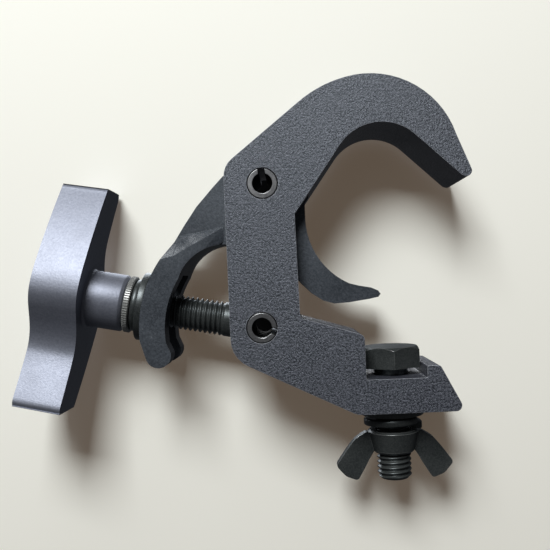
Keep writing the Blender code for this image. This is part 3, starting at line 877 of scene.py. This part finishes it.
@dataclass
class ClampScrew:
    """Eye bolt with its washers and the handle's steel insert.

    Attributes:
        shop: Where the finishes come from.
        axis: The screw's axis, outwards from the eye.
        plain_length: Place where the thread has its full depth.
        eye_cut: Place where the eye ends and the rod starts.
        lock_sweep: Degrees that the split washer covers.
        lock_start: Degrees at which it starts.
        serration_count: Ridges round the collar.
        collar_length: Length of the collar.
        collar_recess: Depth of the collar under the ridges' tops.
        collar_soft: Chamfer of the collar.
        sleeve_radius: Outside of the insert within the handle.
        sleeve_bore: Bore of the insert.
    """

    shop: Workshop
    axis: Axis
    plain_length: float = 15.5 * MM
    eye_cut: float = 10.6 * MM
    lock_sweep: float = 346.0
    lock_start: float = 20.0
    serration_count: int = 72
    collar_length: float = 2.2 * MM
    collar_recess: float = 0.3 * MM
    collar_soft: float = 0.3 * MM
    sleeve_radius: float = 7.8 * MM
    sleeve_bore: float = 6.3 * MM

    def build(self) -> None:
        """Make the eye bolt, the washers and the insert's collar."""
        nodes = self.shop.frame["nodes"]
        self.eye_bolt(nodes)
        self.washers(nodes)
        self.collar(nodes)

    def eye_bolt(self, nodes: dict) -> None:
        """Make the eye and the threaded rod that grows out of it."""
        shop = self.shop
        oxide = shop.materials[Slot.BLACK_OXIDE]
        up = self.axis.direction.normalized()
        bm = copied(nodes["eye_bolt"])
        cut_off(bm, self.axis.origin + up * self.eye_cut, up)
        round_edges(bm, FORGED_EDGE)
        eye = to_piece(bm, "eye_bolt_eye", oxide, weighted=True)
        shop.hand_over(eye, "screw", Slot.BLACK_OXIDE, "eye_bolt")
        end = self.axis.span(nodes["eye_bolt"])[1]
        rod = threaded_rod("eye_bolt_thread", self.axis, self.eye_cut - 0.2 * MM, end,
                           self.plain_length, thread_radius(nodes["fixture_bolt"]), oxide)
        shop.hand_over(rod, "screw", Slot.BLACK_OXIDE)

    def washers(self, nodes: dict) -> None:
        """Make the flat washer and the split one behind it."""
        shop = self.shop
        oxide = shop.materials[Slot.BLACK_OXIDE]
        low, high, outer = self.axis.span(nodes["handle_flat_washer"])
        bm = lathe(ring_profile(low, high, WASHER_BORE, outer, 0.35 * MM), self.axis)
        washer = to_piece(bm, "handle_washer_flat", oxide)
        shop.hand_over(washer, "screw_washers", Slot.BLACK_OXIDE, "handle_flat_washer")
        low, high, outer = self.axis.span(nodes["handle_spring_washer"])
        bm = split_ring(outer, WASHER_BORE, high - low, 0.0, self.lock_sweep, self.lock_start,
                        self.axis, low)
        lock = to_piece(bm, "handle_washer_spring", oxide)
        shop.hand_over(lock, "screw_washers", Slot.BLACK_OXIDE, "handle_spring_washer")

    def collar(self, nodes: dict) -> None:
        """Make the handle's steel insert and the serrations round its collar."""
        shop = self.shop
        steel = shop.collar_material
        low, high, outer = self.axis.span(nodes["handle_insert"])
        top = low + self.collar_length
        rim = outer - self.collar_recess
        soft = self.collar_soft
        profile = [(low, self.sleeve_bore), (low, rim - soft), (low + soft, rim),
                   (top - soft, rim), (top, rim - soft), (top, self.sleeve_radius),
                   (high, self.sleeve_radius), (high, self.sleeve_bore)]
        insert = to_piece(lathe(profile, self.axis), "handle_insert_collar", steel, 40.0)
        shop.hand_over(insert, "handle", Slot.BRIGHT_STEEL, "handle_insert")
        ridges = serrations("handle_insert_serrations", self.axis, low + soft, top - soft,
                            outer, self.serration_count, steel)
        shop.hand_over(ridges, "handle", Slot.BRIGHT_STEEL)


def thread_radius(bolt: bpy.types.Object) -> float:
    """Outside radius of the fixture bolt's thread, read from its lowest part."""
    low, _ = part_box("fixture_bolt")
    ring = [vert.co for vert in bolt.data.vertices if vert.co.z < low.z + 2.0 * MM]
    return (max(point.x for point in ring) - min(point.x for point in ring)) / 2.0


def smooth_loop(points: list[tuple[float, float]], steps: int = 5) -> list[tuple[float, float]]:
    """Closed Catmull-Rom curve through points.

    Args:
        points: The points.
        steps: New points for each old one.

    Returns:
        The denser loop.
    """
    result = []
    count = len(points)
    for index in range(count):
        a, b, c, d = (Vector(points[(index + shift) % count]) for shift in (-1, 0, 1, 2))
        for step in range(steps):
            t = step / steps
            point = 0.5 * (2 * b + (c - a) * t + (2 * a - 5 * b + 4 * c - d) * t * t
                           + (3 * b - a - 3 * c + d) * t ** 3)
            result.append((point.x, point.y))
    return result


@dataclass
class THandle:
    """Barrel and S-shaped bar of the handle.

    Attributes:
        shop: Where the finishes come from.
        axis: The screw's axis, outwards from the eye.
        edge_radius: Rounding of the bar's edges.
        barrel_radius: Outside of the barrel.
        barrel_length: Length of the barrel.
        fillet: Radius where the barrel runs into the bar.
        fillet_steps: Lines round that fillet.
        root: How far the barrel runs into the bar.
        draft: Widening of the bar from its outer to its inner face.
        draft_middle: Share of the bar's depth at which its outline is true.
        draft_reach: Distance from the axis past which the draft is full.
        mouth_radius: Bore of the barrel.
        side: Half of the bar's outline in millimetres; half a turn gives the rest.
    """

    shop: Workshop
    axis: Axis
    edge_radius: float = 0.8 * MM
    barrel_radius: float = 10.0 * MM
    barrel_length: float = 13.1 * MM
    fillet: float = 1.0 * MM
    fillet_steps: int = 5
    root: float = 0.3 * MM
    draft: float = 1.6 * MM
    draft_middle: float = 0.35
    draft_reach: float = 30.0 * MM
    mouth_radius: float = 8.1 * MM
    side: list[tuple[float, float]] = field(default_factory=lambda: [
        (38.1, 0.9), (37.9, 0.1), (37.2, -0.6), (36.0, -1.3), (32.0, -3.7), (26.0, -7.2), (19.0, -11.0),
        (12.5, -14.2), (8.0, -16.1), (4.0, -17.2), (0.5, -17.4), (-2.8, -16.4), (-6.0, -14.5),
        (-10.0, -12.0), (-14.0, -10.3), (-18.0, -9.9), (-22.0, -10.9), (-28.0, -13.2), (-34.0, -15.6),
        (-35.8, -16.2), (-36.8, -16.2), (-37.6, -15.7), (-38.0, -14.8)])

    def build(self) -> None:
        """Make the bar and the barrel."""
        shop = self.shop
        coat = shop.materials[Slot.HANDLE_COAT]
        start, end, _ = self.axis.span(shop.frame["nodes"]["t_handle"])
        bar_start = start + self.barrel_length
        whole = self.side + [(-h, -y) for h, y in self.side]
        outline = [(h * MM, y * MM) for h, y in smooth_loop(whole)]
        bm = prism(outline, bar_start, end)
        for vert in bm.verts:
            depth = (end - vert.co.z) / (end - bar_start) - self.draft_middle
            reach = min(1.0, abs(vert.co.x) / self.draft_reach)
            vert.co.x += math.copysign(self.draft * depth * reach, vert.co.x)
        bm.transform(self.axis.matrix())
        round_edges(bm, self.edge_radius, segments=4, sharp_degrees=60.0)
        bar = to_piece(bm, "t_handle_bar", coat, 60.0, weighted=True)
        shop.hand_over(bar, "handle", Slot.HANDLE_COAT, "t_handle")

        radius = self.barrel_radius
        profile = [(start + 0.1 * MM, self.mouth_radius), (start, self.mouth_radius + 0.2 * MM),
                   (start, radius - 1.1 * MM), (start + 0.15 * MM, radius - 0.9 * MM),
                   (start + 0.9 * MM, radius - 0.1 * MM), (start + 1.2 * MM, radius)]
        for step in range(self.fillet_steps + 1):
            angle = math.radians(90.0 * step / self.fillet_steps)
            profile.append((bar_start - self.fillet + self.fillet * math.sin(angle),
                            radius + self.fillet * (1 - math.cos(angle))))
        profile += [(bar_start + self.root, radius + self.fillet),
                    (bar_start + self.root, self.mouth_radius)]
        barrel = to_piece(lathe(profile, self.axis), "t_handle_barrel", coat, 50.0)
        shop.hand_over(barrel, "handle", Slot.HANDLE_COAT)


@dataclass
class FixtureSet:
    """Fixture bolt, its washers and the wing nut.

    Attributes:
        shop: Where the finishes come from.
        edge_radius: Rounding of the head's edges.
        head_degrees: Edges of the head that turn more than this are rounded.
        plain_below_body: Length under the body before the thread has its full depth.
        spring_bore: Bore of the split washer.
        spring_thickness: Its thickness.
        spring_rise: How far one end stands above the other.
        spring_sweep: Degrees that it covers.
        spring_start: Degrees at which it starts.
    """

    shop: Workshop
    edge_radius: float = 0.35 * MM
    head_degrees: float = 25.0
    plain_below_body: float = 8.0 * MM
    spring_bore: float = 6.4 * MM
    spring_thickness: float = 2.3 * MM
    spring_rise: float = 2.4 * MM
    spring_sweep: float = 338.0
    spring_start: float = -20.0

    def build(self) -> None:
        """Make the bolt, the washers and the wing nut."""
        low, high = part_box("fixture_bolt")
        middle = (low + high) / 2
        axis = Axis(Vector((middle.x, middle.y, 0.0)), Vector((0.0, 0.0, -1.0)))
        nodes = self.shop.frame["nodes"]
        self.bolt(nodes["fixture_bolt"], axis, low.z)
        self.washers(axis)
        self.wing_nut(nodes["wing_nut"])

    def bolt(self, solid: bpy.types.Object, axis: Axis, lowest: float) -> None:
        """Make the hex head and the threaded rod under it.

        Args:
            solid: The bolt's solid.
            axis: Its axis, which points down.
            lowest: Height of its end.
        """
        shop = self.shop
        oxide = shop.materials[Slot.BLACK_OXIDE]
        radius = thread_radius(solid)
        seat = min(vert.co.z for vert in solid.data.vertices
                   if math.hypot(vert.co.x - axis.origin.x, vert.co.y) > radius + 1.0 * MM)
        bm = copied(solid)
        cut_off(bm, Vector((0.0, 0.0, seat + 0.05 * MM)), axis.direction)
        round_edges(bm, self.edge_radius, sharp_degrees=self.head_degrees)
        head = to_piece(bm, "fixture_bolt_head", oxide, weighted=True)
        shop.hand_over(head, "frame", Slot.BLACK_OXIDE, "fixture_bolt")
        body_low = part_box("hook_body")[0].z
        rod = threaded_rod("fixture_bolt_thread", axis, -seat - 0.1 * MM, -lowest,
                           -body_low - self.plain_below_body, radius, oxide)
        shop.hand_over(rod, "frame", Slot.BLACK_OXIDE)

    def washers(self, axis: Axis) -> None:
        """Make the flat washer and the split one under it.

        Args:
            axis: The bolt's axis, which points down.
        """
        shop = self.shop
        oxide = shop.materials[Slot.BLACK_OXIDE]
        washer_low, washer_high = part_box("fixture_flat_washer")
        outer = (washer_high.x - washer_low.x) / 2
        bm = lathe(ring_profile(-washer_high.z, -washer_low.z, WASHER_BORE, outer, 0.3 * MM), axis)
        flat = to_piece(bm, "fixture_washer_flat", oxide)
        shop.hand_over(flat, "fixture_washers", Slot.BLACK_OXIDE, "fixture_flat_washer")
        ring_low, ring_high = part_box("fixture_spring_washer")
        outer = (ring_high.y - ring_low.y) / 2
        up = Axis(axis.origin, Vector((0.0, 0.0, 1.0)))
        bm = split_ring(outer, self.spring_bore, self.spring_thickness, self.spring_rise,
                        self.spring_sweep, self.spring_start, up, ring_low.z)
        spring = to_piece(bm, "fixture_washer_spring", oxide)
        shop.hand_over(spring, "fixture_washers", Slot.BLACK_OXIDE, "fixture_spring_washer")

    def wing_nut(self, solid: bpy.types.Object) -> None:
        """Make the wing nut from its solid."""
        bm = copied(solid)
        round_edges(bm, FORGED_EDGE)
        nut = to_piece(bm, "wing_nut_forging", self.shop.materials[Slot.BLACK_OXIDE], weighted=True)
        self.shop.hand_over(nut, "nut", Slot.BLACK_OXIDE, "wing_nut")


# ---------------------------------------------------------------- studio


@dataclass(frozen=True)
class AreaLight:
    """A square light that faces the clamp.

    Attributes:
        name: Its name.
        place: Where it stands.
        size: Its side.
        power: Its power in watts.
        colour: Its colour.
    """

    name: str
    place: tuple[float, float, float]
    size: float
    power: float
    colour: Colour

    def build(self) -> None:
        """Add the light to the scene."""
        data = bpy.data.lights.new(self.name, "AREA")
        data.size = self.size
        data.energy = self.power
        data.color = self.colour
        light = placed(self.name, data)
        light.location = self.place
        aim = Vector((0.0, 0.0, -0.01)) - Vector(self.place)
        light.rotation_euler = aim.to_track_quat("-Z", "Y").to_euler()


LIGHTS = (
    AreaLight("key", (-0.24, -0.74, 0.66), 0.42, 11.5, (0.96, 0.985, 1.0)),
    AreaLight("high", (-0.25, -0.52, 0.86), 0.60, 1.5, (0.94, 0.97, 1.0)),
    AreaLight("back", (-0.30, 0.80, 0.55), 0.80, 7.0, (0.97, 0.98, 1.0)),
)


@dataclass
class Studio:
    """Backdrop, lights and camera.

    Attributes:
        focal_share: Focal length as a share of the sensor's width.
        sensor: Sensor width in millimetres.
        camera_place: Where the camera stands.
        roll_degrees: How far it is rolled.
        shift: Sideways and upward shift of its frame, as shares of the sensor's width.
        sheet_gap: Room between the clamp's back and the sheet.
        sheet_reach: Half of the sheet's side.
        paper: Colour of the sheet.
        glow: Colour of the faint painted glow of the sheet, which stands in for warm fill light in its
            shadows.
        glow_strength: How strong that painted glow is.
        bore_shade: Colour of the painted shadow on the sheet right behind an open bore.
        shade_radius: How far that shade reaches from the bore's axis.
        shade_fade: Width over which it fades out.
        surround: Colour of the light from all round.
        surround_strength: How strong it is.
    """

    focal_share: float = 1.26
    sensor: float = 36.0
    camera_place: tuple[float, float, float] = (-0.03342, -0.246, -0.02235)
    roll_degrees: float = 2.3
    shift: tuple[float, float] = (-0.02727, 0.01091)
    sheet_gap: float = 0.5 * MM
    sheet_reach: float = 3.0
    paper: Colour = (0.87, 0.875, 0.805)
    glow: Colour = (1.0, 0.68, 0.42)
    glow_strength: float = 0.08
    bore_shade: Colour = (0.02, 0.02, 0.02)
    shade_radius: float = 6.0 * MM
    shade_fade: float = MM / 0.3
    surround: Colour = (0.92, 0.94, 1.0)
    surround_strength: float = 0.06

    def build(self) -> None:
        """Set up everything that isn't part of the clamp."""
        self.backdrop()
        self.surroundings()
        for light in LIGHTS:
            light.build()
        self.camera()

    def backdrop(self) -> None:
        """Pale sheet on which the clamp lies; it shows only from its front."""
        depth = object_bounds()[1].y + self.sheet_gap
        reach = self.sheet_reach
        bm = bmesh.new()
        bm.faces.new([bm.verts.new((x, depth, z)) for x, z in
                      ((-reach, -reach), (reach, -reach), (reach, reach), (-reach, reach))])
        mesh = bpy.data.meshes.new("sheet")
        bm.to_mesh(mesh)
        bm.free()
        mesh.materials.append(self.sheet_material(depth))
        sheet = placed("sheet", mesh)
        sheet.visible_shadow = False
        sheet.visible_diffuse = False
        sheet.visible_glossy = False
        sheet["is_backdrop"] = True

    def sheet_material(self, depth: float) -> bpy.types.Material:
        """Paper with a faint painted glow for warm fill light, a painted shadow behind the open bores,
        and clear from its back.

        Args:
            depth: Where the sheet lies along Y.

        Returns:
            The material.
        """
        made = bpy.data.materials.new("sheet_paper")
        made.use_nodes = True
        graph = Graph(made.node_tree)
        shader = made.node_tree.nodes["Principled BSDF"]
        shader.inputs["Roughness"].default_value = 0.85
        place = graph.node("ShaderNodeTexCoord").outputs["Object"]
        # Painted shadow: this mask falls to 0 near each pin's bore, darkening the sheet's colour and
        # glow there.
        lit: Value | float = 1.0
        for node in ("arm_pivot_pin", "eye_bolt_pin"):
            low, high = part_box(node)
            middle = (low + high) / 2
            away = graph.value("ShaderNodeVectorMath", {"operation": "DISTANCE"},
                               {0: place, 1: (middle.x, depth, middle.z)}, "Value")
            lit = ((away - self.shade_radius) / self.shade_fade).clamped() * lit
        # Painted fill light: a faint warm glow on the sheet browns its shadows; it goes dark near the
        # bores.
        emitted = graph.blend(lit, opaque((0.0, 0.0, 0.0)), opaque(self.glow))
        graph.tree.links.new(emitted, shader.inputs["Emission Color"])
        base = graph.blend(lit, opaque(self.bore_shade), opaque(self.paper))
        graph.tree.links.new(base, shader.inputs["Base Color"])
        shader.inputs["Emission Strength"].default_value = self.glow_strength
        clear = graph.node("ShaderNodeBsdfTransparent")
        side = graph.node("ShaderNodeNewGeometry").outputs["Backfacing"]
        mixed = graph.node("ShaderNodeMixShader", None,
                           {0: side, 1: shader.outputs[0], 2: clear.outputs[0]})
        end = made.node_tree.nodes["Material Output"]
        graph.tree.links.new(mixed.outputs[0], end.inputs["Surface"])
        return made

    def surroundings(self) -> None:
        """Dim light from all round."""
        world = bpy.data.worlds.new("surround")
        bpy.context.scene.world = world
        world.use_nodes = True
        background = world.node_tree.nodes["Background"]
        background.inputs["Color"].default_value = opaque(self.surround)
        background.inputs["Strength"].default_value = self.surround_strength

    def camera(self) -> None:
        """Camera in front of the clamp, rolled a little."""
        data = bpy.data.cameras.new("camera")
        data.sensor_width = self.sensor
        data.lens = self.sensor * self.focal_share
        data.shift_x, data.shift_y = self.shift
        data.clip_start = 0.01
        data.clip_end = 20.0
        camera = placed("camera", data)
        roll = math.radians(self.roll_degrees)
        right = Vector((math.cos(roll), 0.0, -math.sin(roll)))
        up = Vector((math.sin(roll), 0.0, math.cos(roll)))
        turned = Matrix((right, up, Vector((0.0, -1.0, 0.0)))).transposed().to_4x4()
        camera.matrix_world = Matrix.Translation(self.camera_place) @ turned
        bpy.context.scene.camera = camera
        bpy.context.scene.view_settings.view_transform = "Standard"


def main() -> None:
    """Build every sub-assembly in order, then the studio."""
    logging.basicConfig(level=logging.INFO, format="%(message)s")
    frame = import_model()
    shop = Workshop(frame)
    pivot = Vector(shop.joints["screw_swing"]["pos_m"])
    outward = -Vector(shop.joints["handle_spin"]["axis"])
    screw_axis = Axis(pivot, outward)
    for part in (ClampFrame(shop), TriggerArm(shop), ClampScrew(shop, screw_axis),
                 THandle(shop, screw_axis), FixtureSet(shop), Studio()):
        part.build()


if __name__ == "__main__":
    main()
